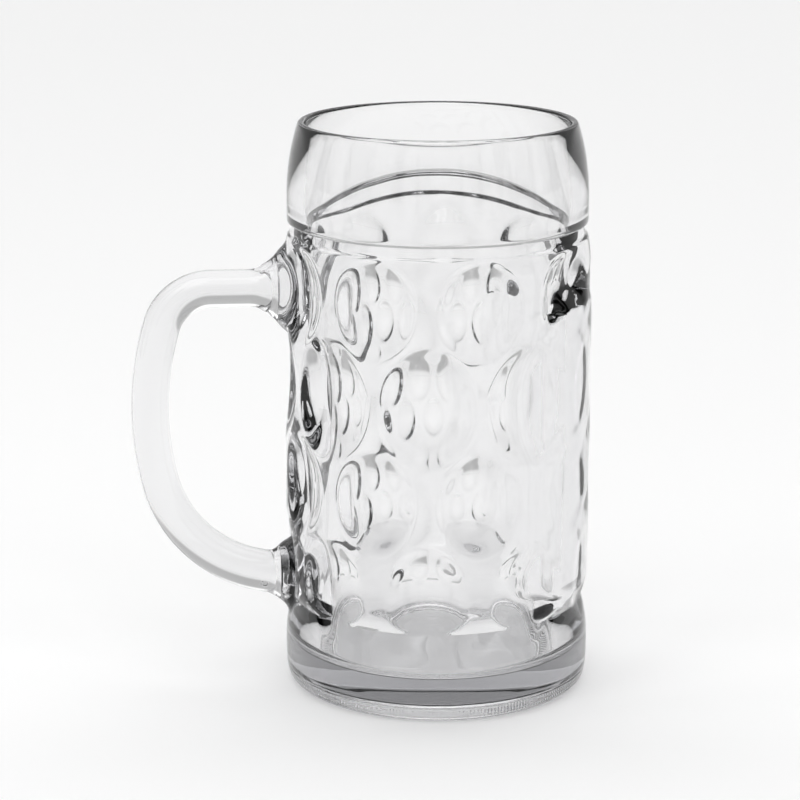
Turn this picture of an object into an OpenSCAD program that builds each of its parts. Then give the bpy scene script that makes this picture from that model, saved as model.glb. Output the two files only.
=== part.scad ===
// Dimpled glass beer mug, one litre.
// The pressed glass vessel carries two bosses, and the separately pressed
// handle is welded to them hot, face to face.
// The axis of the vessel is Z, the table is z = 0 and the handle points along -X.

/* [Vessel] */
// Height from the table to the rim
height = 200; // [188:0.5:215]
// Outside radius of the body between the dimples
body_r = 53.3; // [50:0.1:58]
// Glass between the body's outside and the bore
wall = 8.3; // [7.5:0.1:9.5]
// Glass added to the wall at the floor of the bore
wall_taper = 0.7; // [0:0.1:2]
// Thickness of the glass floor
floor_t = 13; // [10:0.5:20]
// Radius of the bore's corner with the floor
floor_corner_r = 5; // [4:0.5:16]

/* [Foot] */
// How far the foot swells out past the body
foot_swell = 0.6; // [0.2:0.1:1.5]
// Height at which the foot is widest
foot_mid_z = 13.5; // [10:0.5:16]
// Radius of the foot's long curve from bottom to top
foot_curve_r = 64; // [50:1:90]
// Radius of the foot's bottom edge
foot_edge_r = 5; // [3:0.5:8]
// Height of the waist above the foot
waist_z = 31.5; // [28:0.5:36]
// Height over which the waist runs out into the body
waist_rise = 6.5; // [4:0.5:9]
// Width of the standing ring
ring_w = 9; // [6:0.5:14]
// Depth of the hollow under the floor
hollow_h = 4; // [2:0.1:5]

/* [Band] */
// Height from the neck groove to the rim
band_h = 36.6; // [30:0.1:42]
// How far the band stands back from the body
band_step = 1.1; // [0.5:0.1:2]
// Depth of the neck groove below the body
groove_depth = 2.4; // [1.6:0.1:3.2]
// Height over which the body rounds in to the groove
shoulder_h = 12; // [8:0.5:16]
// Glass thickness of the band
band_wall = 6; // [4.5:0.1:7]
// Height of the straight part of the band above the groove
band_straight_h = 9.6; // [6:0.1:14]
// Radius of the inward curve from the band to the rim
rim_curve_r = 82; // [70:1:120]
// Thickness of the rounded rim
rim_t = 2.8; // [2.2:0.1:4]

/* [Dimples] */
// Columns of dimples all round, with the rows staggered by half a column
dimple_columns = 9; // [8:1:10]
// Rows of dimples
dimple_rows = 4; // [2:1:4]
// Height between two rows
row_pitch = 33.5; // [32:0.1:36]
// Drop from the neck groove to the middle of the top row
top_row_drop = 19.4; // [17:0.1:22]
// Radius of the ball that presses a dimple
dimple_ball_r = 30; // [26:0.5:36]
// Depth of a dimple
dimple_depth = 4.8; // [3:0.1:5.5]

/* [Plain panel] */
// Half of the angle that the plain panel opposite the handle takes
panel_half_angle = 56; // [40:1:62]
// How far the panel stands proud of the body
panel_rise = 0.2; // [0.1:0.1:1]
// Height from the waist to the panel's lower edge
panel_foot_gap = 7; // [4:0.5:12]
// Drop from the neck groove to the panel's upper edge
panel_top_gap = 24; // [18:0.5:30]
// Corner radius of the panel
panel_corner_r = 9; // [4:0.5:14]

/* [Handle] */
// Radius of the handle's round section
grip_r = 6.5; // [5.5:0.1:8]
// Radius of the handle's lower arm at its root
lower_arm_r = 7.6; // [6.5:0.1:9]
// Drop from the rim to the middle of the upper arm
upper_arm_drop = 57.4; // [52:0.1:64]
// Height of the middle of the lower arm at its root
lower_arm_z = 39.6; // [36:0.1:46]
// Reach from the body to the middle of the grip
grip_reach = 47.2; // [42:0.1:54]
// Radius of the upper bend, at the middle of the section
upper_bend_r = 18; // [14:0.5:22]
// Radius of the bowed grip
bow_r = 105; // [90:1:130]
// Radius of the lower bend
lower_bend_r = 45; // [38:0.5:50]

/* [Welded roots] */
// Distance from the body to the weld faces
weld_gap = 3.6; // [3:0.1:5]
// Fillet radius of the upper root
upper_fillet_r = 14; // [11:0.5:16]
// Fillet radius of the lower root
lower_fillet_r = 8.5; // [7:0.5:11]
// How much narrower a root is than it is tall where it meets the body
root_narrowing = 4; // [2:0.5:6]

/* [Hidden] */
$fn = 96;
overrun = 1;
glass_colour = [0.86, 0.87, 0.89, 0.55];

// Steps in an arc of an outline, sides of the handle's section and steps along it
arc_steps = 8;
section_sides = 32;
bend_steps = 14;
flare_steps = 6;

// Radius of the second row's balls and depth of its dimples, as shares of the other rows'
row_ball_share = [1, 1.17, 1, 1];
row_depth_share = [1, 1.17, 1, 1];
// Height of the widest part of the bow between the two arms
bow_mid_share = 0.58;
// Place of a root's control point between its weld edge and its outer edge
root_control_share = 0.3;
// Depth to which a root's edge sinks in the wall, as a share of the wall
root_sink_share = 0.06;

// Vessel heights and radii that follow from the sizes above
groove_z = height - band_h;
groove_r = body_r - groove_depth;
band_r = body_r - band_step;
bore_r = body_r - wall;
bore_floor_r = bore_r - wall_taper;
band_bore_r = band_r - band_wall;
foot_r = body_r + foot_swell;
body_low_z = waist_z + waist_rise;
body_high_z = groove_z - shoulder_h;
rim_r = rim_t / 2;
taper_z = groove_z + band_straight_h;
panel_r = body_r + panel_rise;
panel_back_r = bore_r + (wall - dimple_depth * max(row_depth_share)) / 2;
panel_low_z = waist_z + panel_foot_gap;
panel_high_z = groove_z - panel_top_gap;

// Points of an arc round a centre, between two angles; an arc that goes on from another skips its first
function arc(centre, r, from_angle, to_angle, first = 0) =
    [for (i = [first : arc_steps])
        let (a = from_angle + (to_angle - from_angle) * i / arc_steps)
        centre + r * [cos(a), sin(a)]];

// Radius of the arc that leaves the vertical and shifts by dr over a height dz
function run_out_r(dr, dz) = (dz * dz + dr * dr) / (2 * dr);

// Foot: its long curve, and the bottom edge that meets it
foot_centre = [foot_r - foot_curve_r, foot_mid_z];
foot_edge_x = sqrt((foot_curve_r - foot_edge_r) ^ 2 - (foot_mid_z - foot_edge_r) ^ 2);
foot_edge_centre = [foot_centre.x + foot_edge_x, foot_edge_r];
foot_edge_angle = asin((foot_edge_r - foot_mid_z) / (foot_curve_r - foot_edge_r));
foot_top_angle = asin((waist_z - foot_mid_z) / foot_curve_r);
waist_r = foot_centre.x + foot_curve_r * cos(foot_top_angle);
waist_curve_r = run_out_r(body_r - waist_r, waist_rise);
waist_angle = asin(waist_rise / waist_curve_r);
ring_out_r = foot_edge_centre.x;
ring_in_r = ring_out_r - ring_w;

// Neck: the shoulder, the groove's corner and the band's inward curve
shoulder_r = run_out_r(groove_depth, shoulder_h);
shoulder_angle = asin(shoulder_h / shoulder_r);
groove_corner_r = band_r - groove_r;
rim_centre_z = height - rim_r;
rim_angle = asin((rim_centre_z - taper_z) / (rim_curve_r - rim_r));
rim_curve_centre = [band_r - rim_curve_r, taper_z];
rim_centre = rim_curve_centre + (rim_curve_r - rim_r) * [cos(rim_angle), sin(rim_angle)];
bore_lip_r = rim_centre.x - rim_r;
bore_taper_r = run_out_r(band_bore_r - bore_lip_r, rim_centre_z - taper_z);
bore_taper_angle = asin((rim_centre_z - taper_z) / bore_taper_r);

// Outline of the glass, without the bore and the hollow under the floor
outer_outline = concat(
    [[0, 0]],
    arc(foot_edge_centre, foot_edge_r, -90, foot_edge_angle),
    arc(foot_centre, foot_curve_r, foot_edge_angle, foot_top_angle, 1),
    arc([body_r - waist_curve_r, body_low_z], waist_curve_r, -waist_angle, 0, 1),
    arc([body_r - shoulder_r, body_high_z], shoulder_r, 0, shoulder_angle),
    arc([groove_r, groove_z + groove_corner_r], groove_corner_r, -90, 0, 1),
    arc(rim_curve_centre, rim_curve_r, 0, rim_angle),
    arc(rim_centre, rim_r, rim_angle, 90, 1),
    [[0, height]]
);

// Outline of the bore, which takes the inner half of the rounded rim
bore_outline = concat(
    [[0, floor_t]],
    arc([bore_floor_r - floor_corner_r, floor_t + floor_corner_r], floor_corner_r, -90, 0),
    [[bore_r, body_high_z]],
    arc([band_bore_r - bore_taper_r, taper_z], bore_taper_r, 0, bore_taper_angle),
    arc(rim_centre, rim_r, 180, 90, 1),
    [[rim_centre.x, height + overrun], [0, height + overrun]]
);

// Handle path: centres of its three arcs, seen from the side, with x away from the vessel
weld_x = body_r + weld_gap;
upper_arm_z = height - upper_arm_drop;
grip_x = body_r + grip_reach;
bow_centre = [grip_x - bow_r, lower_arm_z + bow_mid_share * (upper_arm_z - lower_arm_z)];
upper_bend_z = upper_arm_z - upper_bend_r;
upper_bend_x = bow_centre.x + sqrt((bow_r - upper_bend_r) ^ 2 - (upper_bend_z - bow_centre.y) ^ 2);
lower_bend_z = lower_arm_z + lower_bend_r;
lower_bend_x = bow_centre.x + sqrt((bow_r - lower_bend_r) ^ 2 - (lower_bend_z - bow_centre.y) ^ 2);
upper_bend_angle = atan2(upper_bend_z - bow_centre.y, upper_bend_x - bow_centre.x);
lower_bend_angle = atan2(lower_bend_z - bow_centre.y, lower_bend_x - bow_centre.x);
lower_end_angle = -90 + asin(max(0, weld_x - lower_bend_x) / lower_bend_r);

// Extra radius of a root as it nears the body, for a section whose middle is at x
function flare(x, fillet_r) =
    let (d = body_r + fillet_r - x)
    d <= 0 ? 0 : fillet_r - sqrt(fillet_r ^ 2 - min(d, fillet_r) ^ 2);

upper_weld_r = grip_r + flare(weld_x, upper_fillet_r);
lower_weld_r = lower_arm_r + flare(weld_x, lower_fillet_r);

// A station of the handle: its middle, the angle of its outward side, and its radius
function station(p, angle, r) = [p.x, p.y, angle, r];

function arc_stations(centre, r, from_angle, to_angle, first) =
    [for (i = [first : bend_steps])
        let (a = from_angle + (to_angle - from_angle) * i / bend_steps)
        let (p = centre + r * [cos(a), sin(a)])
        let (t = max(0, lower_bend_angle - a) / (lower_bend_angle + 90))
        let (near = a < lower_bend_angle ? flare(p.x, lower_fillet_r) : 0)
        station(p, a, grip_r + (lower_arm_r - grip_r) * t + near)];

// The straight upper arm, with closer stations in the flare
upper_flare_end = body_r + upper_fillet_r;
upper_stations = [for (i = [0 : flare_steps])
    let (x = weld_x + (upper_flare_end - weld_x) * i / flare_steps)
    station([x, upper_arm_z], 90, grip_r + flare(x, upper_fillet_r))];

// The lower arm's last stations, which turn flat to lie in the weld face
lower_flare_end = body_r + lower_fillet_r;
lower_flare_angle = -90 + asin((lower_flare_end - lower_bend_x) / lower_bend_r);
lower_bend_centre = [lower_bend_x, lower_bend_z];
lower_stations = [for (i = [1 : flare_steps])
    let (a = lower_flare_angle + (lower_end_angle - lower_flare_angle) * i / flare_steps)
    let (p = lower_bend_centre + lower_bend_r * [cos(a), sin(a)])
    let (turned = a + (-90 - lower_end_angle) * i / flare_steps)
    station(p, turned, lower_arm_r + flare(p.x, lower_fillet_r))];
lower_weld_z = lower_bend_z + lower_bend_r * sin(lower_end_angle);

handle_stations = concat(
    upper_stations,
    arc_stations([upper_bend_x, upper_bend_z], upper_bend_r, 90, upper_bend_angle, 0),
    arc_stations(bow_centre, bow_r, upper_bend_angle, lower_bend_angle, 1),
    arc_stations(lower_bend_centre, lower_bend_r, lower_bend_angle, lower_flare_angle, 1),
    lower_stations
);

// Ring of points round a station
function station_ring(s) = [for (j = [0 : section_sides - 1])
    let (t = 360 * j / section_sides)
    [s[0] + s[3] * sin(t) * cos(s[2]), s[3] * cos(t), s[1] + s[3] * sin(t) * sin(s[2])]];

// Closed skin over a list of rings with the same number of points
module skin(rings) {
    n = len(rings[0]);
    last = (len(rings) - 1) * n;
    sides = [for (i = [0 : len(rings) - 2], j = [0 : n - 1])
        let (a = i * n + j, b = i * n + (j + 1) % n)
        each [[a, a + n, b], [b, a + n, b + n]]];
    near_cap = [for (j = [1 : n - 2]) [0, j, j + 1]];
    far_cap = [for (j = [1 : n - 2]) [last, last + j + 1, last + j]];
    polyhedron([for (r = rings) each r], concat(sides, near_cap, far_cap));
}

// Reach of a root's edge from the arm's middle line, for a direction round the arm
function root_edge(t, tall, wide) = 1 / sqrt((cos(t) / wide) ^ 2 + (sin(t) / tall) ^ 2);

// Depth, at a sideways distance y, of the surface that a root's edge sinks to
root_seat_r = body_r - wall * root_sink_share;
function seat_depth(y) = sqrt(root_seat_r ^ 2 - y ^ 2);

// Point of a root's surface: a curve from the weld edge that ends along the body
function root_point(t, k, arm_z, weld_r, tall, wide) =
    let (edge = root_edge(t, tall, wide))
    let (edge_x = seat_depth(edge * cos(t)))
    let (slope = -edge * cos(t) ^ 2 / edge_x)
    let (mid = weld_r + root_control_share * (edge - weld_r))
    let (mid_x = edge_x + slope * (mid - edge))
    let (reach = (1 - k) ^ 2 * weld_r + 2 * k * (1 - k) * mid + k ^ 2 * edge)
    let (x = (1 - k) ^ 2 * weld_x + 2 * k * (1 - k) * mid_x + k ^ 2 * edge_x)
    [x, reach * cos(t), arm_z + reach * sin(t)];

// Boss of the vessel from the weld face into the wall, to be cut by the bore
module root(arm_z, weld_r, fillet_r, arm_r) {
    tall = arm_r + fillet_r;
    wide = tall - root_narrowing;
    angles = [for (j = [0 : section_sides - 1]) 360 * j / section_sides];
    face = [for (i = [0 : flare_steps])
        [for (t = angles) root_point(t, i / flare_steps, arm_z, weld_r, tall, wide)]];
    back = [for (t = angles)
        let (edge = root_edge(t, tall, wide))
        [bore_floor_r - wall, edge * cos(t), arm_z + edge * sin(t)]];
    skin([for (i = [len(face) : -1 : 0]) i == len(face) ? back : face[i]]);
}

// One dimple, pressed square to the body at a height and a bearing from the handle
module dimple(z, bearing, row) {
    ball_r = dimple_ball_r * row_ball_share[row];
    depth = dimple_depth * row_depth_share[row];
    rotate([0, 0, 180 + bearing])
        translate([body_r - depth + ball_r, 0, z])
            sphere(r = ball_r);
}

module dimples() {
    step = 360 / dimple_columns;
    for (row = [0 : dimple_rows - 1], column = [0 : dimple_columns - 1]) {
        stagger = row % 2 == 0 ? step / 2 : 0;
        dimple(groove_z - top_row_drop - row * row_pitch, column * step + stagger, row);
    }
}

// Rounded rectangle round its centre
module rounded_plate(width, length, corner_r) {
    square([width - 2 * corner_r, length], center = true);
    square([width, length - 2 * corner_r], center = true);
    for (x = [-1, 1], y = [-1, 1])
        translate([x * (width / 2 - corner_r), y * (length / 2 - corner_r)])
            circle(r = corner_r);
}

// Plain panel opposite the handle, whose sides draw along X
module panel() {
    panel_w = 2 * panel_r * sin(panel_half_angle);
    panel_l = panel_high_z - panel_low_z;
    intersection() {
        translate([0, 0, (panel_low_z + panel_high_z) / 2])
            rotate([90, 0, 90])
                linear_extrude(panel_r + overrun)
                    rounded_plate(panel_w, panel_l, panel_corner_r);
        translate([0, 0, panel_low_z])
            difference() {
                cylinder(h = panel_l, r = panel_r);
                translate([0, 0, -overrun])
                    cylinder(h = panel_l + 2 * overrun, r = panel_back_r);
            }
    }
}

module vessel() {
    color(glass_colour)
        difference() {
            union() {
                difference() {
                    rotate_extrude() polygon(outer_outline);
                    dimples();
                }
                panel();
                rotate([0, 0, 180]) {
                    root(upper_arm_z, upper_weld_r, upper_fillet_r, grip_r);
                    root(lower_weld_z, lower_weld_r, lower_fillet_r, lower_arm_r);
                }
            }
            rotate_extrude() polygon(bore_outline);
            translate([0, 0, -overrun])
                cylinder(h = hollow_h + overrun, r = ring_in_r);
        }
}

module handle() {
    color(glass_colour)
        rotate([0, 0, 180])
            skin([for (s = handle_stations) station_ring(s)]);
}

vessel();
handle();
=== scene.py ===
"""Looks of a dimpled glass beer mug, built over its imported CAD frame.

The vessel is turned from its outline, pressed with its dimples and its plain
panel, and given the two roots that the handle is welded to. The handle is a
drawn tube bent along its bow. Lengths are in metres, as in the frame. The axis
of the vessel is Z, the table is z = 0 and the handle points along -X.
"""

import math

import bmesh
import bpy
import numpy as np
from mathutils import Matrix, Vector


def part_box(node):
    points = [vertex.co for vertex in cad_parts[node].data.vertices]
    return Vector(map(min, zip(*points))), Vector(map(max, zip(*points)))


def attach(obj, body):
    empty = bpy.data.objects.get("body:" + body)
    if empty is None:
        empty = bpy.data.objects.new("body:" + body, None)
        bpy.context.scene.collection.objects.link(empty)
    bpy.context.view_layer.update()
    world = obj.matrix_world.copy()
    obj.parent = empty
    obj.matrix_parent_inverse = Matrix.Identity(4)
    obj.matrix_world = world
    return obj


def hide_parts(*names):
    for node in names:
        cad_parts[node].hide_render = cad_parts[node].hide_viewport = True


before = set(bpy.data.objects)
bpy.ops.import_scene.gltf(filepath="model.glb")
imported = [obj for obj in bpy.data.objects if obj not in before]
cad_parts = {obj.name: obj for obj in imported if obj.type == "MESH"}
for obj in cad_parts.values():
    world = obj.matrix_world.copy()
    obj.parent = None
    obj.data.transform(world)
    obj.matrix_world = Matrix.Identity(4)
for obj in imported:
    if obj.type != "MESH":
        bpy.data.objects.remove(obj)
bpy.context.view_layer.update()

bl_info = {
    "name": "Dimpled Glass Beer Mug",
    "version": (1, 0, 0),
    "blender": (4, 5, 0),
    "location": "3D View > Sidebar > Beer Mug",
    "description": "Models a pressed glass beer mug over its CAD frame",
    "category": "Add Mesh",
}

BODY = "root"
MM = 0.001
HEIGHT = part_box("vessel")[1][2]


# ---------------------------------------------------------------- settings


def length(name, description, default, low=0.0, high=0.5):
    """A length property, given in millimetres and held in metres."""
    return bpy.props.FloatProperty(
        name=name, description=description, default=default * MM,
        min=low * MM, max=high, unit="LENGTH", precision=5)


def angle(name, description, degrees):
    return bpy.props.FloatProperty(
        name=name, description=description, default=math.radians(degrees),
        unit="ROTATION")


def factor(name, description, default, low=0.0, high=1.0):
    return bpy.props.FloatProperty(
        name=name, description=description, default=default, min=low, max=high,
        subtype="FACTOR")


def colour(name, description, default):
    return bpy.props.FloatVectorProperty(
        name=name, description=description, default=default, size=4, min=0.0,
        max=1.0, subtype="COLOR")


class MugVesselSettings(bpy.types.PropertyGroup):
    """Sizes of the vessel's outline."""

    height: length("Height", "Height from the table to the rim", HEIGHT / MM)
    body_r: length("Body radius", "Outside radius between the dimples", 53.3)
    wall: length("Wall", "Glass between the body's outside and the bore", 8.3)
    wall_taper: length("Wall taper", "Glass added at the floor of the bore", 0.7)
    floor_t: length("Floor", "Thickness of the glass floor", 13)
    floor_corner_r: length("Floor corner", "Radius of the bore's corner", 5)
    foot_swell: length("Foot swell", "How far the foot swells past the body", 0.6)
    foot_mid_z: length("Foot middle", "Height where the foot is widest", 13.5)
    foot_curve_r: length("Foot curve", "Radius of the foot's long curve", 64)
    foot_edge_r: length("Foot edge", "Radius of the foot's bottom edge", 5)
    waist_z: length("Waist height", "Height of the waist above the foot", 31.5)
    waist_rise: length("Waist rise", "Height over which the waist runs out", 6.5)
    ring_w: length("Ring width", "Width of the standing ring", 9)
    hollow_h: length("Hollow", "Depth of the hollow under the floor", 4)
    band_h: length("Band height", "Height from the neck groove to the rim", 35.4)
    band_step: length("Band step", "How far the band stands back", 1.1)
    groove_depth: length("Groove depth", "Depth of the neck groove", 2.4)
    notch: length("Notch", "How much deeper the bottom of the groove is", 0.7)
    notch_h: length("Notch height", "Height of the groove's flat bottom", 4.2)
    notch_edge: length("Notch edge", "Softness of the notch's two edges", 0.35)
    shoulder_h: length("Shoulder", "Height over which the body rounds in", 13.2)
    band_wall: length("Band wall", "Glass thickness of the band", 6)
    band_straight_h: length("Straight band", "Height of its straight part", 9.6)
    rim_curve_r: length("Rim curve", "Radius of the band's inward curve", 82)
    rim_t: length("Rim thickness", "Thickness of the rounded rim", 2.8)


class MugPressingSettings(bpy.types.PropertyGroup):
    """Sizes of the pressed dimples and of the plain panel."""

    columns: bpy.props.IntProperty(
        name="Dimple columns", description="Columns of dimples all round",
        default=9, min=4, max=14)
    rows: bpy.props.IntProperty(
        name="Dimple rows", description="Staggered rows of dimples",
        default=4, min=1, max=4)
    row_pitch: length("Row pitch", "Height between two rows", 33.5)
    top_row_drop: length("Top row drop", "Drop from the groove to row one", 20.6)
    ball_r: length("Ball radius", "Radius of the ball that presses a dimple", 34)
    depth: length("Dimple depth", "Depth of a dimple", 4.8)
    second_row_share: factor(
        "Second row", "Size of the second row's dimples against the others",
        1.17, 0.5, 1.5)
    edge_blend: length("Edge blend", "How far a dimple's edge is melted round", 1.3)
    panel_half_angle: angle("Panel half angle", "Half of the panel's spread", 56)
    panel_rise: length("Panel rise", "How far the panel stands proud", 0.2)
    panel_foot_gap: length("Panel foot gap", "From the waist to the panel", 7)
    panel_top_gap: length("Panel top gap", "From the groove to the panel", 25.2)
    panel_corner_r: length("Panel corner", "Corner radius of the panel", 9)
    panel_edge_blend: length("Panel edge blend", "Melted edge of the panel", 3.0)
    panel_end_slope: bpy.props.FloatProperty(
        name="Panel end slope", description="Slope of the panel's two ends",
        default=0.6, min=0.2, max=4.0)


class MugHandleSettings(bpy.types.PropertyGroup):
    """Sizes of the handle and of the roots that it is welded to."""

    grip_r: length("Grip radius", "Radius of the round section", 6.5)
    lower_arm_r: length("Lower arm", "Radius of the lower arm at its root", 7.6)
    upper_arm_drop: length("Upper arm drop", "From the rim to the arm", 57.4)
    lower_arm_z: length("Lower arm height", "Height of the lower arm", 39.6)
    grip_reach: length("Reach", "From the body to the middle of the grip", 47.18)
    upper_bend_r: length("Upper bend", "Radius of the upper bend", 18)
    bow_r: length("Bow", "Radius of the bowed grip", 105)
    lower_bend_r: length("Lower bend", "Radius of the lower bend", 45)
    bow_mid_share: factor(
        "Bow middle", "Widest place of the bow between the arms", 0.58)
    weld_gap: length("Weld distance", "From the body to the weld faces", 2.6)
    weld_seam: length("Weld seam", "Parting left between the two pieces", 0.04)
    weld_dome: length("Weld dome", "How far the handle's end is domed", 1.6)
    upper_fillet_r: length("Upper fillet", "Fillet of the upper root", 14)
    lower_fillet_r: length("Lower fillet", "Fillet of the lower root", 8.5)
    side_flare: factor("Side flare", "Flare of an arm's sides against its top",
                       0.3)
    root_top: length("Root top", "Height where the upper root ends", 160.2)


class MugGlassSettings(bpy.types.PropertyGroup):
    """Colour and finish of the glass."""

    tint: colour("Tint", "Colour that thick glass takes", (0.80, 0.80, 0.81, 1))
    density: bpy.props.FloatProperty(
        name="Tint density", description="How fast thick glass takes its tint",
        default=40.0, min=0.0, max=200.0)
    roughness: factor("Roughness", "Roughness of the fire-polished skin", 0.0)
    ior: bpy.props.FloatProperty(
        name="IOR", description="Refraction of soda-lime glass", default=1.5,
        min=1.0, max=2.0)
    ripple: length("Ripple", "Height of the pressed skin's faint ripple", 0.05)
    stipple: length("Stipple", "Height of the stipple under the foot", 0.12)
    seed: length("Seed", "Height of the ring round the seed bubble", 0.45)
    ring_roughness: factor("Ring roughness", "Wear of the standing ring", 0.35)


class MugStageSettings(bpy.types.PropertyGroup):
    """Floor, light and camera."""

    floor_colour: colour("Floor", "Colour of the floor", (1.0, 1.0, 1.0, 1))
    light_tone: factor("Light tone", "Tone of the bright surround", 1.0)
    camera_azimuth: angle("Camera azimuth", "Bearing of the camera", -6.5)
    camera_distance: length("Distance", "From the axis, level", 935.6, high=5.0)
    camera_height: length("Camera height", "Above the table", 336.9, high=5.0)
    camera_tilt: angle("Camera tilt", "Downward tilt of the camera", 14.154)
    camera_turn: angle("Camera turn", "Turn that sets the mug off centre", 0.797)
    lens: bpy.props.FloatProperty(
        name="Lens", description="Focal length on a 36 mm sensor",
        default=123.48, min=10.0, max=400.0, unit="CAMERA")


# ---------------------------------------------------------------- outlines


def arc(centre, r, start, end, steps, skip=0):
    """Points of an arc; one that goes on from another skips its first."""
    turn = np.linspace(start, end, steps + 1)[skip:]
    return [(centre[0] + r * math.cos(a), centre[1] + r * math.sin(a))
            for a in turn]


def line(a, b, steps, skip=0):
    """Points of a straight stretch between two outline points."""
    share = np.linspace(0, 1, steps + 1)[skip:]
    return [(a[0] + (b[0] - a[0]) * k, a[1] + (b[1] - a[1]) * k) for k in share]


def run_out_r(dr, dz):
    """Radius of the arc that leaves the vertical and shifts by dr over dz."""
    return (dz * dz + dr * dr) / (2 * dr)


class Outline:
    """The vessel's outlines, worked out from its settings."""

    def __init__(self, s):
        self.s = s
        self.groove_z = s.height - s.band_h
        self.groove_r = s.body_r - s.groove_depth
        self.band_r = s.body_r - s.band_step
        self.bore_r = s.body_r - s.wall
        self.foot_c = (s.body_r + s.foot_swell - s.foot_curve_r, s.foot_mid_z)
        reach = s.foot_curve_r - s.foot_edge_r
        drop = s.foot_mid_z - s.foot_edge_r
        self.edge_c = (self.foot_c[0] + math.sqrt(reach ** 2 - drop ** 2),
                       s.foot_edge_r)
        self.edge_turn = -math.asin(drop / reach)
        self.foot_top = math.asin((s.waist_z - s.foot_mid_z) / s.foot_curve_r)
        waist_r = self.foot_c[0] + s.foot_curve_r * math.cos(self.foot_top)
        self.waist_arc_r = run_out_r(s.body_r - waist_r, s.waist_rise)
        self.body_low_z = s.waist_z + s.waist_rise
        self.body_high_z = self.groove_z - s.shoulder_h
        self.shoulder_r = run_out_r(s.groove_depth, s.shoulder_h)
        self.corner_r = self.band_r - self.groove_r
        self.rim_r = s.rim_t / 2
        self.rim_z = s.height - self.rim_r
        self.taper_z = self.groove_z + s.band_straight_h
        self.rim_turn = math.asin(
            (self.rim_z - self.taper_z) / (s.rim_curve_r - self.rim_r))
        self.rim_x = (self.band_r - s.rim_curve_r
                      + (s.rim_curve_r - self.rim_r) * math.cos(self.rim_turn))

    def radius(self, z):
        """Outside radius at each height from the foot to the band."""
        s = self.s
        z = np.asarray(z, dtype=float)
        foot = self.foot_c[0] + np.sqrt(
            np.maximum(s.foot_curve_r ** 2 - (z - self.foot_c[1]) ** 2, 0))
        rise = np.clip(self.body_low_z - z, 0, s.waist_rise)
        waist = (s.body_r - self.waist_arc_r
                 + np.sqrt(self.waist_arc_r ** 2 - rise ** 2))
        drop = np.clip(z - self.body_high_z, 0, s.shoulder_h)
        shoulder = (s.body_r - self.shoulder_r
                    + np.sqrt(self.shoulder_r ** 2 - drop ** 2))
        corner = np.clip(z - self.groove_z, 0, self.corner_r)
        band = self.groove_r + np.sqrt(
            np.maximum(self.corner_r ** 2 - (self.corner_r - corner) ** 2, 0))
        body = np.where(z < s.waist_z, foot, np.minimum(waist, shoulder))
        top = self.groove_z + 0.8 * MM
        dip = s.notch / 2 * (np.tanh((z - top + s.notch_h) / s.notch_edge)
                             - np.tanh((z - top) / s.notch_edge))
        return np.where(z > self.groove_z, band, body) - dip

    def wall_rows(self):
        """Heights of the pressed wall's rows, close where it is dimpled."""
        corner = [self.groove_z + self.corner_r * (1 - math.cos(a))
                  for a in np.linspace(0, math.pi / 2, 7)]
        low, top = 24 * MM, self.groove_z - 0.3 * MM
        fine = round((top - NECK - low) / FINE_ROW)
        return np.concatenate([
            np.linspace(10 * MM, low, 8)[:-1],
            np.linspace(low, top - NECK, fine + 1),
            np.linspace(top - NECK, top, NECK_ROWS + 1)[1:], corner,
            np.linspace(corner[-1], corner[-1] + 4 * MM, 4)[1:]])

    def under(self, wall_z):
        """From the middle of the underside, over the standing ring, to wall_z."""
        s = self.s
        ring_in = self.edge_c[0] - s.ring_w
        lip = s.hollow_h * 0.45
        dome = s.hollow_h * 0.2
        hollow = [(ring_in * (0.02 + 0.93 * k / 10) if k else 0.0,
                   s.hollow_h + dome * (1 - (k / 10) ** 2)) for k in range(10)]
        inner = arc((ring_in - 1.6 * MM, s.hollow_h - lip), lip,
                    math.pi / 2, 0, 5)
        inner = [(ring_in - 1.6 * MM + (x - ring_in + 1.6 * MM) * 1.4, z)
                 for x, z in inner]
        edge = [(ring_in - 0.2 * MM, 0.12 * MM)]
        ring = line((ring_in + 0.25 * MM, 0), (self.edge_c[0], 0), 8)
        turn = math.asin((wall_z - self.foot_c[1]) / s.foot_curve_r)
        return (hollow + inner + edge + ring
                + arc(self.edge_c, s.foot_edge_r, -math.pi / 2, self.edge_turn, 8, 1)
                + arc(self.foot_c, s.foot_curve_r, self.edge_turn, turn, 12, 1))

    def upper(self, wall_z):
        """From wall_z up the band and over the rim, then down the bore."""
        s = self.s
        out = line((self.band_r, wall_z), (self.band_r, self.taper_z), 2)
        out += arc((self.band_r - s.rim_curve_r, self.taper_z), s.rim_curve_r,
                   0, self.rim_turn, 12, 1)
        out += arc((self.rim_x, self.rim_z), self.rim_r, self.rim_turn,
                   math.pi, 12, 1)
        lip_r = self.rim_x - self.rim_r
        bore_top = self.band_r - s.band_wall
        taper_r = run_out_r(bore_top - lip_r, self.rim_z - self.taper_z)
        turn = math.asin((self.rim_z - self.taper_z) / taper_r)
        out += arc((bore_top - taper_r, self.taper_z), taper_r, turn, 0, 10, 1)
        floor_r = self.bore_r - s.wall_taper
        out += self.eased((bore_top, self.taper_z),
                          (self.bore_r, self.body_high_z), 10)
        out += line((self.bore_r, self.body_high_z),
                    (floor_r, s.floor_t + s.floor_corner_r), 24, 1)
        out += arc((floor_r - s.floor_corner_r, s.floor_t + s.floor_corner_r),
                   s.floor_corner_r, 0, -math.pi / 2, 10, 1)
        flat = floor_r - s.floor_corner_r
        out += [(flat * (1 - k / 12), s.floor_t) for k in range(1, 13)]
        return out

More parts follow.
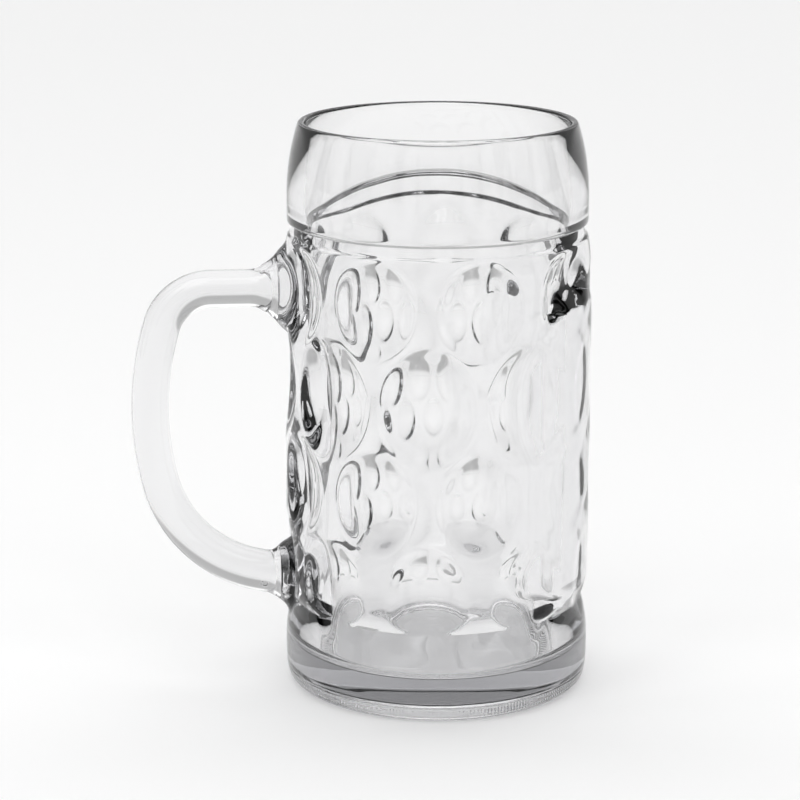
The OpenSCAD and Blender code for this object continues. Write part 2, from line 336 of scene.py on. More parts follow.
    @staticmethod
    def eased(a, b, steps):
        """An S-shaped stretch that leaves and meets the vertical."""
        out = []
        for k in np.linspace(0, 1, steps + 1)[1:]:
            ease = k * k * (3 - 2 * k)
            out.append((a[0] + (b[0] - a[0]) * ease, a[1] + (b[1] - a[1]) * k))
        return out


def soft_min(a, b, k):
    """The lesser of two radii, melted together where they nearly meet."""
    h = np.maximum(k - np.abs(a - b), 0) / k
    return np.minimum(a, b) - h * h * k / 4


def soft_max(a, b, k):
    return -soft_min(-a, -b, k)


class Pressing:
    """The radius of the pressed wall at each bearing and height."""

    def __init__(self, vessel, press):
        self.v, self.p = vessel, press
        self.o = Outline(vessel)
        self.low_z = vessel.waist_z + press.panel_foot_gap
        self.high_z = self.o.groove_z - press.panel_top_gap

    def dimples(self, bearing, z):
        """Radius of the turned wall with every dimple pressed in it."""
        p, body_r = self.p, self.v.body_r
        out = self.o.radius(z)
        step = 2 * math.pi / p.columns
        for row in range(p.rows):
            share = p.second_row_share if row == 1 else 1.0
            ball, depth = p.ball_r * share, p.depth * share
            centre = body_r - depth + ball
            dz = z - (self.o.groove_z - p.top_row_drop - row * p.row_pitch)
            for column in range(p.columns):
                at = math.pi + step * (column + (0.5 if row % 2 == 0 else 0))
                off = bearing - at
                inside = (ball ** 2 - dz ** 2 - (centre * np.sin(off)) ** 2)
                near = (inside > 0) & (np.cos(off) > 0)
                hit = np.where(
                    near,
                    centre * np.cos(off) - np.sqrt(np.maximum(inside, 0)), 1.0)
                out = soft_min(out, hit, p.edge_blend)
        return out

    def panel(self, bearing, z):
        """Radius of the plain panel, well inside the wall away from it."""
        p = self.p
        top = self.v.body_r + p.panel_rise
        half_w = top * math.sin(p.panel_half_angle)
        half_l = (self.high_z - self.low_z) / 2
        off_z = np.abs(z - (self.low_z + self.high_z) / 2)
        into = np.clip(off_z - (half_l - p.panel_corner_r), 0, p.panel_corner_r)
        width = (half_w - p.panel_corner_r
                 + np.sqrt(np.maximum(p.panel_corner_r ** 2 - into ** 2, 0)))
        side = width / np.maximum(np.abs(np.sin(bearing)), 1e-3)
        past = np.maximum(off_z - half_l, 0)
        out = soft_min(np.minimum(side, 2 * top), top - p.panel_end_slope * past,
                       p.panel_edge_blend)
        out = soft_min(out, np.full_like(out, top), 0.3 * MM)
        return np.where(np.cos(bearing) > 0, out, 0.0)

    def radius(self, bearing, z):
        out = soft_max(self.dimples(bearing, z), self.panel(bearing, z),
                       self.p.panel_edge_blend)
        cap = np.full_like(out, self.v.body_r + self.p.panel_rise + 0.25 * MM)
        return soft_min(out, cap, 0.3 * MM)

    def point(self, bearing, z):
        """Place on the pressed wall, as rows of x, y and z."""
        r = self.radius(bearing, z)
        return np.stack([r * np.cos(bearing), r * np.sin(bearing), z], axis=-1)

    def slopes(self, bearing, z, step=0.05 * MM):
        """Directions along the wall, round it and up it."""
        turn = step / self.v.body_r
        across = self.point(bearing + turn, z) - self.point(bearing - turn, z)
        up = self.point(bearing, z + step) - self.point(bearing, z - step)
        return unit(across), unit(up)

    def seat(self, y, z):
        """Bearing of the wall's point at a sideways place, on the handle's side."""
        bearing = np.full_like(y, math.pi)
        for _ in range(12):
            bearing = math.pi - np.arcsin(y / self.radius(bearing, z))
        return bearing


def unit(v):
    return v / np.maximum(np.linalg.norm(v, axis=-1, keepdims=True), 1e-12)


# ---------------------------------------------------------------- modelling


def only(obj):
    """Deselects everything but obj and makes it active."""
    bpy.ops.object.select_all(action="DESELECT")
    obj.select_set(True)
    bpy.context.view_layer.objects.active = obj


def places(obj):
    """The mesh's vertices as rows of x, y and z."""
    flat = np.empty(len(obj.data.vertices) * 3)
    obj.data.vertices.foreach_get("co", flat)
    return flat.reshape(-1, 3)


def place(obj, rows):
    obj.data.vertices.foreach_set("co", np.ascontiguousarray(rows).ravel())
    obj.data.update()


def turned(name, outline, steps):
    """Draws an outline in the XZ plane and spins it once round the axis."""
    mesh = bpy.data.meshes.new(name)
    rows = [(x, 0.0, z) for x, z in outline]
    mesh.from_pydata(rows, [(i, i + 1) for i in range(len(rows) - 1)], [])
    obj = bpy.data.objects.new(name, mesh)
    bpy.context.collection.objects.link(obj)
    drawn_out(obj, 2 * math.pi, 0.0, steps)
    return obj


def ringed_tube(name, sides, rings):
    """A tube with no ends, of radius 1, with its rings at z = 0, 1, 2 and on."""
    bpy.ops.object.select_all(action="DESELECT")
    bpy.ops.mesh.primitive_circle_add(vertices=sides, radius=1,
                                      fill_type="NOTHING", location=(0, 0, 0))
    obj = bpy.context.active_object
    obj.name = obj.data.name = name
    drawn_out(obj, 0.0, rings - 1, rings - 1)
    return obj


def drawn_out(obj, turn, rise, steps):
    """Sweeps a drawn line once round the axis, or up it, in even steps."""
    only(obj)
    screw = obj.modifiers.new("sweep", "SCREW")
    screw.angle, screw.screw_offset = turn, rise
    screw.steps = screw.render_steps = steps
    screw.use_merge_vertices = turn > 0
    screw.merge_threshold = 0.004 * MM
    bpy.ops.object.modifier_apply(modifier=screw.name)


def joined(name, objects):
    """Joins objects in one, and merges the points that they share."""
    bpy.ops.object.select_all(action="DESELECT")
    for obj in objects:
        obj.select_set(True)
    bpy.context.view_layer.objects.active = objects[0]
    bpy.ops.object.join()
    out = bpy.context.active_object
    out.name = out.data.name = name
    return out


def close_up(obj, threshold, sharp=math.radians(32)):
    """Merges doubles, turns every face outwards and smooths the skin."""
    only(obj)
    bpy.ops.object.mode_set(mode="EDIT")
    bpy.ops.mesh.select_all(action="SELECT")
    bpy.ops.mesh.remove_doubles(threshold=threshold)
    bpy.ops.mesh.select_all(action="SELECT")
    bpy.ops.mesh.normals_make_consistent(inside=False)
    bpy.ops.object.mode_set(mode="OBJECT")
    bpy.ops.object.shade_smooth_by_angle(angle=sharp)


def bridged(obj, z_low, z_high, reach):
    """Joins the two open loops whose heights lie between z_low and z_high."""
    only(obj)
    bpy.ops.object.mode_set(mode="EDIT")
    bpy.context.tool_settings.mesh_select_mode = (False, True, False)
    bpy.ops.mesh.select_all(action="DESELECT")
    mesh = bmesh.from_edit_mesh(obj.data)
    for edge in mesh.edges:
        if edge.is_boundary:
            mid = (edge.verts[0].co + edge.verts[1].co) / 2
            edge.select = z_low < mid.z < z_high and mid.xy.length > reach
    bmesh.update_edit_mesh(obj.data)
    bpy.ops.mesh.bridge_edge_loops()
    bpy.ops.object.mode_set(mode="OBJECT")


# ---------------------------------------------------------------- vessel

COLUMNS = 372
FINE_ROW = 0.83 * MM
# Height below the neck groove that has closer rows, and how many
NECK, NECK_ROWS = 5 * MM, 14
ROOT_RINGS = 11
DISH_RINGS = 4
# A root's block of the wall's grid, as a share of the root's own half sizes
BLOCK_SHARE = 0.886
# How far past a root's block the grid is pulled to its edge, in half blocks:
# sideways and down, and up to the neck groove
PULL, PULL_UP = 1.9, 1.33


def crowd_columns(bearing, half_angle):
    """Moves evenly spaced bearings closer together away from the plain panel."""
    turn = np.linspace(0, math.pi, 2001)
    edge = 1 / (1 + np.exp(-(turn - half_angle * 0.93) / math.radians(3)))
    density = 0.45 + 0.55 * edge
    total = np.concatenate([[0], np.cumsum((density[1:] + density[:-1]) / 2)])
    total *= math.pi / total[-1]
    off = np.mod(bearing + math.pi, 2 * math.pi) - math.pi
    return np.sign(off) * np.interp(np.abs(off), total, turn)


def flare(off, fillet):
    """How far a fillet has flared an arm at a distance from the body."""
    d = min(max(fillet - off, 0), fillet)
    ease = min(d / (0.45 * fillet), 1) ** 1.5
    return (fillet - math.sqrt(fillet ** 2 - d ** 2)) * ease


class Root:
    """One of the two bosses of the vessel, seen along the arm."""

    def __init__(self, handle, body_r, z, fillet, arm):
        self.z, side = z, handle.side_flare
        self.face_x = body_r + handle.weld_gap - handle.weld_seam / 2
        grown = flare(handle.weld_gap, fillet)
        self.weld_tall, self.weld_wide = arm + grown, arm + grown * side
        self.tall = arm + fillet
        self.top = min(self.tall, handle.root_top - z)
        self.wide = arm + fillet * side
        d = fillet - handle.weld_gap
        self.slope = d / math.sqrt(fillet ** 2 - d ** 2)
        self.side = side
        self.dome = handle.weld_dome

    def edge(self, turn, press):
        """Bearing and height of the edge on the wall, for each turn round."""
        up = np.sin(turn)
        z = self.z + np.where(up > 0, self.top, self.tall) * up
        return press.seat(self.wide * np.cos(turn), z), z

    def skin(self, turn, k, press):
        """Place on the boss, from the weld edge at k = 0 to the wall at k = 1."""
        bearing, z = self.edge(turn, press)
        end = press.point(bearing, z)
        out = np.stack([np.zeros_like(turn), np.cos(turn), np.sin(turn)], axis=-1)
        start = (out * (0, self.weld_wide, self.weld_tall)
                 + (-self.face_x, 0, self.z))
        leave = unit(out * (0, self.slope * self.side, self.slope) + (1, 0, 0))
        across, up = press.slopes(bearing, z)
        normal = unit(np.cross(across, up))
        back = start - end
        span = np.linalg.norm(back, axis=-1, keepdims=True)
        meet = unit(back - normal * np.sum(back * normal, axis=-1, keepdims=True))
        a = start + leave * span * 0.40
        b = end + meet * span * 0.42
        k = k[:, None]
        return ((1 - k) ** 3 * start + 3 * (1 - k) ** 2 * k * a
                + 3 * (1 - k) * k ** 2 * b + k ** 3 * end)

    def dish(self, turn, share):
        """Place on the weld face, from its middle at share 0 to its edge at 1."""
        rise = self.dome * (1 - share ** 2)
        return np.stack([-self.face_x + rise,
                         self.weld_wide * share * np.cos(turn),
                         self.z + self.weld_tall * share * np.sin(turn)], axis=-1)


def mug_roots(vessel, handle):
    """The upper and the lower root."""
    path = HandlePath(vessel, handle)
    return [
        Root(handle, vessel.body_r, path.upper_z, handle.upper_fillet_r,
             handle.grip_r),
        Root(handle, vessel.body_r, path.lower_weld_z, handle.lower_fillet_r,
             handle.lower_arm_r),
    ]


def eased_out(x, end):
    """Falls softly from 1, at x = 1 or less, to 0 at x = end."""
    share = np.clip((end - np.maximum(x, 1)) / (end - 1), 0, 1)
    return share ** 2 * (3 - 2 * share)


def block_turn(u, v):
    """Turn round a root for a point of its block's outline, from -1 to 1."""
    with np.errstate(divide="ignore", invalid="ignore"):
        side = math.pi / 4 * v / u + np.where(u > 0, 0, math.pi)
        cap = np.sign(v) * math.pi / 2 - math.pi / 4 * u / v
    return np.where(np.abs(u) >= np.abs(v), side, cap)


def pressed_wall(vessel, press, handle):
    """The dimpled wall, with a round opening at each root, and the roots' places.

    The wall is turned as a plain ring of evenly spaced columns and rows. Round
    each root a block of them is taken out, and its outline is drawn on to the
    root's edge, with the columns and rows near it eased along.
    """
    pressing = Pressing(vessel, press)
    heights = pressing.o.wall_rows()
    wall = turned("wall", [(vessel.body_r, z) for z in heights], COLUMNS)
    at = places(wall)
    column_turn = 2 * math.pi / COLUMNS
    column = np.round(np.mod(np.arctan2(at[:, 1], at[:, 0]), 2 * math.pi)
                      / column_turn) % COLUMNS
    z = at[:, 2].copy()

    def spread(columns):
        return np.mod(crowd_columns(columns * column_turn,
                                    press.panel_half_angle), 2 * math.pi)

    bearing = spread(column)
    back = COLUMNS // 2
    column_w = (spread(back + 1) - spread(back)) * vessel.body_r

    def nearest(height):
        return heights[np.argmin(np.abs(heights - height))]

    cut, blocks = np.zeros(len(at), dtype=bool), []
    for root in mug_roots(vessel, handle):
        half_c = round(root.wide * BLOCK_SHARE / column_w)
        mid = nearest(root.z)
        up = nearest(root.z + root.top * BLOCK_SHARE) - mid
        down = mid - nearest(root.z - root.tall * BLOCK_SHARE)
        u = (column - back) / half_c
        v = (at[:, 2] - mid) / np.where(at[:, 2] > mid, up, down)
        m = np.maximum(np.abs(u), np.abs(v))
        cut |= m < 1 - 1e-6
        near = (m >= 1 - 1e-6) & (np.abs(u) < PULL) & (v > -PULL) & (v < PULL_UP)
        u, v, m = u[near], v[near], m[near]
        turn = block_turn(-u, v)
        edge_bearing, edge_z = root.edge(turn, pressing)
        fade = eased_out(np.abs(u), PULL) * np.where(
            v > 0, eased_out(v, PULL_UP), eased_out(-v, PULL))
        bearing[near] += (edge_bearing - spread(back + u / m * half_c)) * fade
        block_z = mid + v / m * np.where(v > 0, up, down)
        z[near] += (edge_z - block_z) * fade
        blocks.append((root, np.sort(np.mod(turn[m < 1 + 1e-6], 2 * math.pi))))
    place(wall, pressing.point(bearing, z))
    only(wall)
    bpy.ops.object.mode_set(mode="EDIT")
    bpy.context.tool_settings.mesh_select_mode = (True, False, False)
    bpy.ops.mesh.select_all(action="DESELECT")
    mesh = bmesh.from_edit_mesh(wall.data)
    for vertex, gone in zip(mesh.verts, cut):
        vertex.select = bool(gone)
    bmesh.update_edit_mesh(wall.data)
    bpy.ops.mesh.delete(type="VERT")
    bpy.ops.object.mode_set(mode="OBJECT")
    return wall, [root_piece(root, ring, pressing) for root, ring in blocks]


def root_piece(root, turns, pressing):
    """One root: its flared skin, and the face that the handle is welded to."""
    obj = ringed_tube("root", len(turns), ROOT_RINGS + DISH_RINGS + 1)
    at = places(obj)
    round_z = np.arctan2(at[:, 1], at[:, 0])
    side = np.round((round_z - round_z[0]) / (2 * math.pi) * len(turns))
    side = side.astype(int) % len(turns)
    turn = turns[side]
    k = np.round(at[:, 2])
    share = (k - DISH_RINGS) / ROOT_RINGS
    skin = root.skin(turn, np.clip(share, 0, 1), pressing)
    dish = root.dish(turn, np.clip(k / DISH_RINGS, 0, 1))
    place(obj, np.where((share >= 0)[:, None], skin, dish))
    return obj


def build_vessel(context):
    scene = context.scene
    vessel, press = scene.mug_vessel, scene.mug_pressing
    handle, glass = scene.mug_handle, scene.mug_glass
    outline = Outline(vessel)
    wall, roots = pressed_wall(vessel, press, handle)
    heights = outline.wall_rows()
    low, high = heights[0], heights[-1]
    foot = turned("foot", outline.under(low - 2 * MM), COLUMNS // 2)
    top = turned("band", outline.upper(high + MM), COLUMNS // 2)
    for part in (foot, top):
        at = places(part)
        r = np.hypot(at[:, 0], at[:, 1])
        bearing = crowd_columns(np.arctan2(at[:, 1], at[:, 0]),
                                press.panel_half_angle)
        at[:, 0], at[:, 1] = r * np.cos(bearing), r * np.sin(bearing)
        place(part, at)
    body = joined("glass_vessel", [wall, *roots, foot, top])
    reach = vessel.body_r * 0.9
    bridged(body, low - 2.5 * MM, low + 0.5 * MM, reach)
    bridged(body, high - 0.5 * MM, high + 1.5 * MM, reach)
    close_up(body, 0.004 * MM)
    body.data.materials.clear()
    body.data.materials.append(glass_material("pressed vessel glass", glass, stipple))
    finish_piece(body, "vessel")


# ---------------------------------------------------------------- handle

HANDLE_SIDES = 64
END_RINGS = 5


class HandlePath:
    """The middle line of the handle, with x away from the vessel."""

    def __init__(self, vessel, handle):
        h = self.h = handle
        self.body_r = vessel.body_r
        self.weld_x = vessel.body_r + h.weld_gap + h.weld_seam / 2
        self.upper_z = vessel.height - h.upper_arm_drop
        self.bow = (vessel.body_r + h.grip_reach - h.bow_r,
                    h.lower_arm_z
                    + h.bow_mid_share * (self.upper_z - h.lower_arm_z))
        self.upper = self.bend(self.upper_z - h.upper_bend_r, h.upper_bend_r)
        self.lower = self.bend(h.lower_arm_z + h.lower_bend_r, h.lower_bend_r)
        self.upper_turn = math.atan2(self.upper[1] - self.bow[1],
                                     self.upper[0] - self.bow[0])
        self.lower_turn = math.atan2(self.lower[1] - self.bow[1],
                                     self.lower[0] - self.bow[0])
        past = max(0, vessel.body_r + h.weld_gap - self.lower[0])
        self.end_turn = -math.pi / 2 + math.asin(past / h.lower_bend_r)
        self.lower_weld_z = self.lower[1] + h.lower_bend_r * math.sin(self.end_turn)

    def bend(self, z, r):
        reach = self.h.bow_r - r
        return (self.bow[0] + math.sqrt(reach ** 2 - (z - self.bow[1]) ** 2), z)

    def stations(self):
        """Middle, outward turn, half height and half width of each ring."""
        h, out = self.h, []
        flare_end = self.body_r + h.upper_fillet_r
        for x in (*np.linspace(self.weld_x, flare_end, 19)[:-1],
                  *np.linspace(flare_end, self.upper[0], 9)[:-1]):
            grown = flare(x - self.body_r, h.upper_fillet_r)
            out.append((x, self.upper_z, math.pi / 2, h.grip_r + grown,
                        h.grip_r + grown * h.side_flare))
        arcs = (
            (self.upper, h.upper_bend_r, math.pi / 2, self.upper_turn, 36),
            (self.bow, h.bow_r, self.upper_turn, self.lower_turn, 48),
            (self.lower, h.lower_bend_r, self.lower_turn, self.end_turn, 70),
        )
        for centre, r, start, end, steps in arcs:
            for a in np.linspace(start, end, steps + 1)[:-1]:
                out.append(self.on_arc(centre, r, a))
        end = self.on_arc(self.lower, h.lower_bend_r, self.end_turn)
        out.append((self.weld_x, *end[1:]))
        return self.squared(out)

    def on_arc(self, centre, r, a):
        h = self.h
        x, z = centre[0] + r * math.cos(a), centre[1] + r * math.sin(a)
        low = max(0.0, self.lower_turn - a) / (self.lower_turn + math.pi / 2)
        size = h.grip_r + (h.lower_arm_r - h.grip_r) * low
        grown = 0.0
        if a < self.lower_turn:
            grown = flare(x - self.body_r, h.lower_fillet_r)
        return x, z, a, size + grown, size + grown * h.side_flare

    def squared(self, stations):
        """Turns the last rings flat, so that the end lies in its weld face."""
        last = self.body_r + self.h.lower_fillet_r
        first = next(i for i, s in enumerate(stations)
                     if s[2] < self.lower_turn and s[0] < last)
        off = -math.pi / 2 - stations[-1][2]
        span = len(stations) - 1 - first
        return [s if i < first else
                (s[0], s[1], s[2] + off * (i - first) / span, *s[3:])
                for i, s in enumerate(stations)]


def build_handle(context):
    scene = context.scene
    handle = scene.mug_handle
    path = HandlePath(scene.mug_vessel, handle)
    stations = np.array(path.stations())
    count = len(stations) - 1 + 2 * END_RINGS
    obj = ringed_tube("glass_handle", HANDLE_SIDES, count + 1)
    at = places(obj)
    turn = np.arctan2(at[:, 1], at[:, 0])
    k = np.round(at[:, 2]) - END_RINGS
    last = len(stations) - 1
    row = np.arange(len(stations))
    x, z, a, tall, wide = (np.interp(np.clip(k, 0, last), row, stations[:, i])
                           for i in range(5))
    share = np.clip(1 - np.maximum(-k, k - last) / END_RINGS, 0, 1)
    x = x - np.where(share < 1, handle.weld_dome * (1 - share ** 2), 0)
    tall, wide = tall * share * np.sin(turn), wide * share * np.cos(turn)
    place(obj, np.stack([-(x + tall * np.cos(a)), wide,
                         z + tall * np.sin(a)], axis=-1))
    close_up(obj, 0.004 * MM)
    obj.data.materials.clear()
    obj.data.materials.append(
        glass_material("welded handle glass", scene.mug_glass, seed_bubble))
    finish_piece(obj, "handle")


# ---------------------------------------------------------------- glass


class NodeBook:
    """Adds nodes to a tree and links them."""

    def __init__(self, tree):
        self.tree = tree
        tree.nodes.clear()

    def add(self, kind, inputs=None, **values):
        node = self.tree.nodes.new(kind)
        for name, value in values.items():
            setattr(node, name, value)
        for name, value in (inputs or {}).items():
            socket = node.inputs[name]
            if isinstance(value, bpy.types.NodeSocket):
                self.tree.links.new(value, socket)
            else:
                socket.default_value = value
        return node

    def math(self, operation, *values):
        node = self.add("ShaderNodeMath", operation=operation)
        for socket, value in zip(node.inputs, values):
            if isinstance(value, bpy.types.NodeSocket):
                self.tree.links.new(value, socket)
            else:
                socket.default_value = value
        return node.outputs[0]


# Features in the skin are a scale of noise, or waves per radian and per metre
RIPPLE_SCALE = 55.0
STIPPLE_TOP, STIPPLE_R, RING_IN_R = 3.6 * MM, 49.5 * MM, 40 * MM
KNURL_ROUND, KNURL_OUT = 110.0, 2200.0
WEAR_SCALE, WEAR_START, WEAR_END = 70.0, 0.42, 0.62
HAMMER_SCALE = 420.0
# The seed bubble, with the radius and the softness of its ring
SEED_AT = (-61.6 * MM, -6.9 * MM, 37.4 * MM)
SEED_R, SEED_EDGE = 1.1 * MM, 0.3 * MM
SHADOW_TONE = 0.95


def stipple(book, where, bump, glass):
    """The underside: short ridges on the standing ring, hammered in its middle."""
    x, y, z = book.add("ShaderNodeSeparateXYZ", {"Vector": where}).outputs
    r = book.math("SQRT", book.math("ADD", book.math("MULTIPLY", x, x),
                                    book.math("MULTIPLY", y, y)))
    low = book.math("LESS_THAN", z, STIPPLE_TOP)
    under = book.math("MULTIPLY", low, book.math("LESS_THAN", r, STIPPLE_R))
    on_ring = book.math("MULTIPLY", under, book.math("GREATER_THAN", r, RING_IN_R))
    turn = book.math("MULTIPLY", book.math("ARCTAN2", y, x), KNURL_ROUND)
    rise = book.math("MULTIPLY", r, KNURL_OUT)
    ridge = book.math("MULTIPLY", book.math(
        "MULTIPLY", book.math("SINE", book.math("ADD", turn, rise)),
        book.math("SINE", book.math("SUBTRACT", turn, rise))), on_ring)
    worn = book.add("ShaderNodeTexNoise",
                    {"Vector": where, "Scale": WEAR_SCALE,
                     "Detail": 1.0}).outputs["Fac"]
    worn = book.add("ShaderNodeMapRange",
                    {"Value": worn, "From Min": WEAR_START,
                     "From Max": WEAR_END}).outputs[0]
    ridge = book.math("MULTIPLY", ridge, worn)
    hammered = book.math(
        "MULTIPLY", under,
        book.add("ShaderNodeTexNoise",
                 {"Vector": where, "Scale": HAMMER_SCALE,
                  "Detail": 2.0}).outputs["Fac"])
    height = book.math("ADD", book.math("MULTIPLY", ridge, glass.stipple),
                       book.math("MULTIPLY", hammered, glass.stipple))
    bump = book.add("ShaderNodeBump",
                    {"Height": height, "Strength": 1.0, "Distance": 1.0,
                     "Normal": bump}).outputs["Normal"]
    rough = book.math("MULTIPLY_ADD", on_ring, glass.ring_roughness,
                      glass.roughness)
    return bump, rough


def seed_bubble(book, where, bump, glass):
    """A small round seed that lies just under the skin at the lower weld."""
    off = book.add("ShaderNodeVectorMath", {0: where, 1: SEED_AT},
                   operation="DISTANCE").outputs["Value"]
    off = book.math("DIVIDE", book.math("SUBTRACT", off, SEED_R), SEED_EDGE)
    ring = book.math("EXPONENT", book.math("MULTIPLY", book.math(
        "MULTIPLY", off, off), -1.0))
    bump = book.add("ShaderNodeBump",
                    {"Height": book.math("MULTIPLY", ring, glass.seed),
                     "Strength": 1.0, "Distance": 1.0,
                     "Normal": bump}).outputs["Normal"]
    return bump, glass.roughness


def glass_material(name, glass, mark):
    """Pressed and fire-polished clear glass, with one piece's own marks."""
    material = bpy.data.materials.new(name)
    material.use_nodes = True
    book = NodeBook(material.node_tree)
    where = book.add("ShaderNodeTexCoord").outputs["Object"]
    ripple = book.add("ShaderNodeTexNoise",
                      {"Vector": where, "Scale": RIPPLE_SCALE, "Detail": 1.0,
                       "Roughness": 0.4}).outputs["Fac"]
    bump = book.add("ShaderNodeBump",
                    {"Height": ripple, "Strength": 1.0,
                     "Distance": glass.ripple}).outputs["Normal"]
    bump, rough = mark(book, where, bump, glass)
    skin = book.add(
        "ShaderNodeBsdfPrincipled",
        {"Base Color": (1, 1, 1, 1), "Roughness": rough,
         "IOR": glass.ior, "Transmission Weight": 1.0, "Normal": bump})
    clear = book.add("ShaderNodeBsdfTransparent",
                     {"Color": (*[SHADOW_TONE] * 3, 1)})
    path = book.add("ShaderNodeLightPath")
    surface = book.add("ShaderNodeMixShader",
                       {0: path.outputs["Is Shadow Ray"], 1: skin.outputs[0],
                        2: clear.outputs[0]})
    inside = book.add("ShaderNodeVolumeAbsorption",
                      {"Color": tuple(glass.tint), "Density": glass.density})
    book.add("ShaderNodeOutputMaterial",
             {"Surface": surface.outputs[0], "Volume": inside.outputs[0]})
    return material


def finish_piece(obj, node):
    """Hands a finished piece to the frame in place of its CAD node."""
    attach(obj, BODY)
    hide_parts(node)


# ---------------------------------------------------------------- stage

# Dark cards beside the set, each as bearing, half width and tone. A bearing is
# in degrees from straight behind the mug, seen from the camera, right positive.
SKY_CARDS = ((-84, 8, 0.03), (-112, 5, 0.03), (-150, 4, 0.10),
             (150, 4, 0.10), (112, 5, 0.03), (84, 8, 0.03))
# A card is dark over its core and fades out at its edge, in half widths
CARD_CORE, CARD_EDGE = 0.8, 1.6
# Tones of the studio by height, as elevation in degrees and tone. The overhead
# light passes 1, as it brings the grey walls up to a floor that is near white.
SKY_RISE = ((0, 0.90), (6, 0.50), (28, 0.52), (42, 1.42))
FLOOR_SIZE, FLOOR_DROP = 6, 0.05 * MM
LAMP_AT, LAMP_AIM_Z = Vector((-0.5, -0.6, 1.5)), 0.1
LAMP_SIZE, LAMP_POWER = 0.9, 4.0
SENSOR_WIDTH, CLIP_NEAR, CLIP_FAR = 36.0, 0.01, 50.0


def ramp_of(book, fac, stops):
    """A grey ramp through stops of place and tone."""
    node = book.add("ShaderNodeValToRGB", {"Fac": fac})
    ramp = node.color_ramp
    ramp.interpolation = "EASE"
    while len(ramp.elements) > 1:
        ramp.elements.remove(ramp.elements[0])
    first, *rest = sorted(stops)
    ramp.elements[0].position = first[0]
    ramp.elements[0].color = (first[1], first[1], first[1], 1)
    for at, tone in rest:
        ramp.elements.new(min(max(at, 0), 1)).color = (tone, tone, tone, 1)
    return node.outputs["Color"]


def round_the_set(book, x, y, azimuth):
    """Tone of the walls by bearing: 1 but for the dark cards."""
    bearing = book.math("MULTIPLY_ADD", book.math("ARCTAN2", y, x),
                        0.5 / math.pi, 0.5)
    stops = [(0.0, 1.0), (1.0, 1.0)]
    for from_behind, half, tone in SKY_CARDS:
        at = math.pi / 2 + azimuth - math.radians(from_behind)
        mid = math.atan2(math.sin(at), math.cos(at)) / (2 * math.pi) + 0.5
        wide = half / 360
        edge, core = wide * CARD_EDGE, wide * CARD_CORE
        stops += [(mid - edge, 1.0), (mid - core, tone),
                  (mid + core, tone), (mid + edge, 1.0)]
    return ramp_of(book, bearing, stops)


def times(book, a, b):
    return book.add("ShaderNodeMixRGB", {"Fac": 1.0, "Color1": a, "Color2": b},
                    blend_type="MULTIPLY").outputs["Color"]


def surround(stage):
    """Soft light from above, grey walls and narrow dark cards, for every ray."""
    world = bpy.data.worlds.new("studio surround")
    bpy.context.scene.world = world
    world.use_nodes = True
    book = NodeBook(world.node_tree)
    way = book.add("ShaderNodeTexCoord").outputs["Generated"]
    split = book.add("ShaderNodeSeparateXYZ", {"Vector": way})
    x, y, z = split.outputs
    ring = round_the_set(book, x, y, stage.camera_azimuth)
    rise = ramp_of(book, z, [(math.sin(math.radians(e)), t) for e, t in SKY_RISE])
    tone = times(book, times(book, ring, rise), (stage.light_tone,) * 3 + (1,))
    studio = book.add("ShaderNodeBackground", {"Color": tone, "Strength": 1.0})
    book.add("ShaderNodeOutputWorld", {"Surface": studio.outputs[0]})


def build_stage(context):
    scene, stage = context.scene, context.scene.mug_stage
    bpy.ops.object.select_all(action="DESELECT")
    bpy.ops.mesh.primitive_plane_add(size=FLOOR_SIZE,
                                     location=(0, 0, -FLOOR_DROP))
    floor = context.active_object
    floor.name = floor.data.name = "floor"
    only(floor)
    bpy.ops.object.transform_apply(location=True, rotation=True, scale=True)
    material = bpy.data.materials.new("pale floor")
    material.use_nodes = True
    book = NodeBook(material.node_tree)
    skin = book.add("ShaderNodeBsdfDiffuse", {"Color": tuple(stage.floor_colour)})
    book.add("ShaderNodeOutputMaterial", {"Surface": skin.outputs[0]})
    floor.data.materials.append(material)
    surround(stage)
    bpy.ops.object.light_add(type="AREA", location=LAMP_AT)
    lamp = context.active_object
    lamp.name = lamp.data.name = "soft box"
    lamp.data.size = LAMP_SIZE
    lamp.data.energy = LAMP_POWER
    aim = LAMP_AT - Vector((0, 0, LAMP_AIM_Z))
    lamp.rotation_euler = aim.to_track_quat("Z", "Y").to_euler()
    cam = bpy.data.cameras.new("camera")
    cam.lens, cam.sensor_width = stage.lens, SENSOR_WIDTH
    cam.clip_start, cam.clip_end = CLIP_NEAR, CLIP_FAR
    holder = bpy.data.objects.new("camera", cam)
    scene.collection.objects.link(holder)
    a = stage.camera_azimuth
    holder.location = (stage.camera_distance * math.sin(a),
                       -stage.camera_distance * math.cos(a), stage.camera_height)
    holder.rotation_euler = (math.pi / 2 - stage.camera_tilt, 0,
                             a + stage.camera_turn)
    scene.camera = holder
    scene.view_settings.view_transform = "Standard"


# ---------------------------------------------------------------- add-on


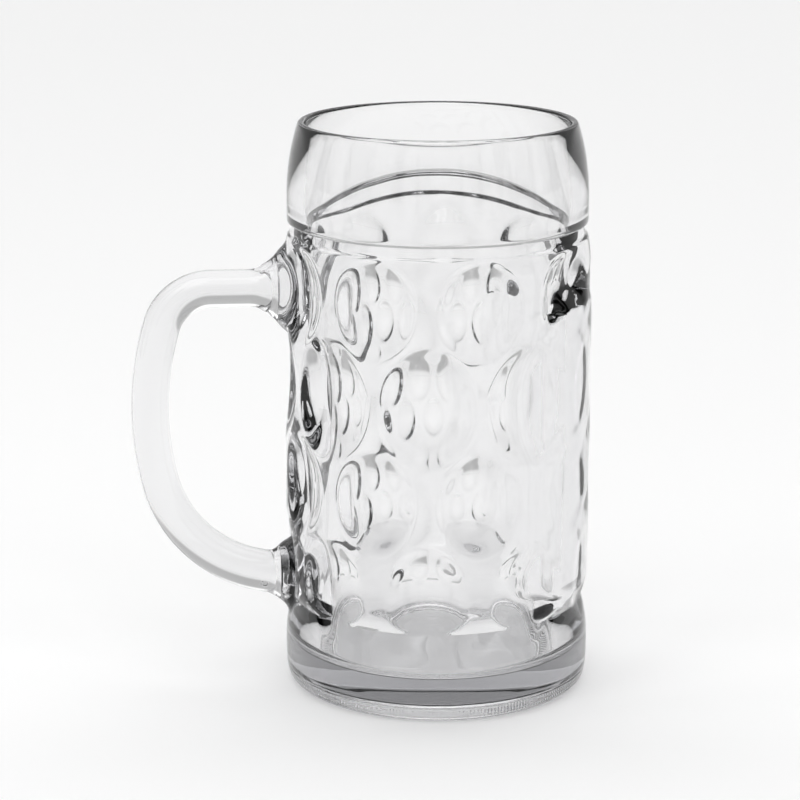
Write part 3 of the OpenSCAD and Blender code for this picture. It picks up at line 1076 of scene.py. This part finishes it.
class MUG_OT_vessel(bpy.types.Operator):
    """Model the pressed glass vessel with its dimples, panel and two roots"""

    bl_idname = "mug.vessel"
    bl_label = "Glass vessel"

    def execute(self, context):
        build_vessel(context)
        return {"FINISHED"}


class MUG_OT_handle(bpy.types.Operator):
    """Model the bowed round handle that is welded to the two roots"""

    bl_idname = "mug.handle"
    bl_label = "Glass handle"

    def execute(self, context):
        build_handle(context)
        return {"FINISHED"}


class MUG_OT_stage(bpy.types.Operator):
    """Set the pale floor, the soft light and the camera"""

    bl_idname = "mug.stage"
    bl_label = "Stage"

    def execute(self, context):
        build_stage(context)
        return {"FINISHED"}


class MUG_PT_panel(bpy.types.Panel):
    """Sizes, glass and stage of the beer mug"""

    bl_idname = "MUG_PT_panel"
    bl_label = "Beer Mug"
    bl_space_type = "VIEW_3D"
    bl_region_type = "UI"
    bl_category = "Beer Mug"

    def draw(self, context):
        scene = context.scene
        for title, group, operator in (
            ("Vessel", scene.mug_vessel, "mug.vessel"),
            ("Pressing", scene.mug_pressing, None),
            ("Handle", scene.mug_handle, "mug.handle"),
            ("Glass", scene.mug_glass, None),
            ("Stage", scene.mug_stage, "mug.stage"),
        ):
            box = self.layout.box()
            box.label(text=title)
            for name in group.__annotations__:
                box.prop(group, name)
            if operator:
                box.operator(operator)


GROUPS = {
    "mug_vessel": MugVesselSettings,
    "mug_pressing": MugPressingSettings,
    "mug_handle": MugHandleSettings,
    "mug_glass": MugGlassSettings,
    "mug_stage": MugStageSettings,
}
CLASSES = (*GROUPS.values(), MUG_OT_vessel, MUG_OT_handle, MUG_OT_stage,
           MUG_PT_panel)


def register():
    for cls in CLASSES:
        bpy.utils.register_class(cls)
    for name, group in GROUPS.items():
        setattr(bpy.types.Scene, name, bpy.props.PointerProperty(type=group))


def unregister():
    for name in GROUPS:
        delattr(bpy.types.Scene, name)
    for cls in reversed(CLASSES):
        bpy.utils.unregister_class(cls)


def main():
    register()
    bpy.ops.mug.stage()
    bpy.ops.mug.vessel()
    bpy.ops.mug.handle()


if __name__ == "__main__":
    main()
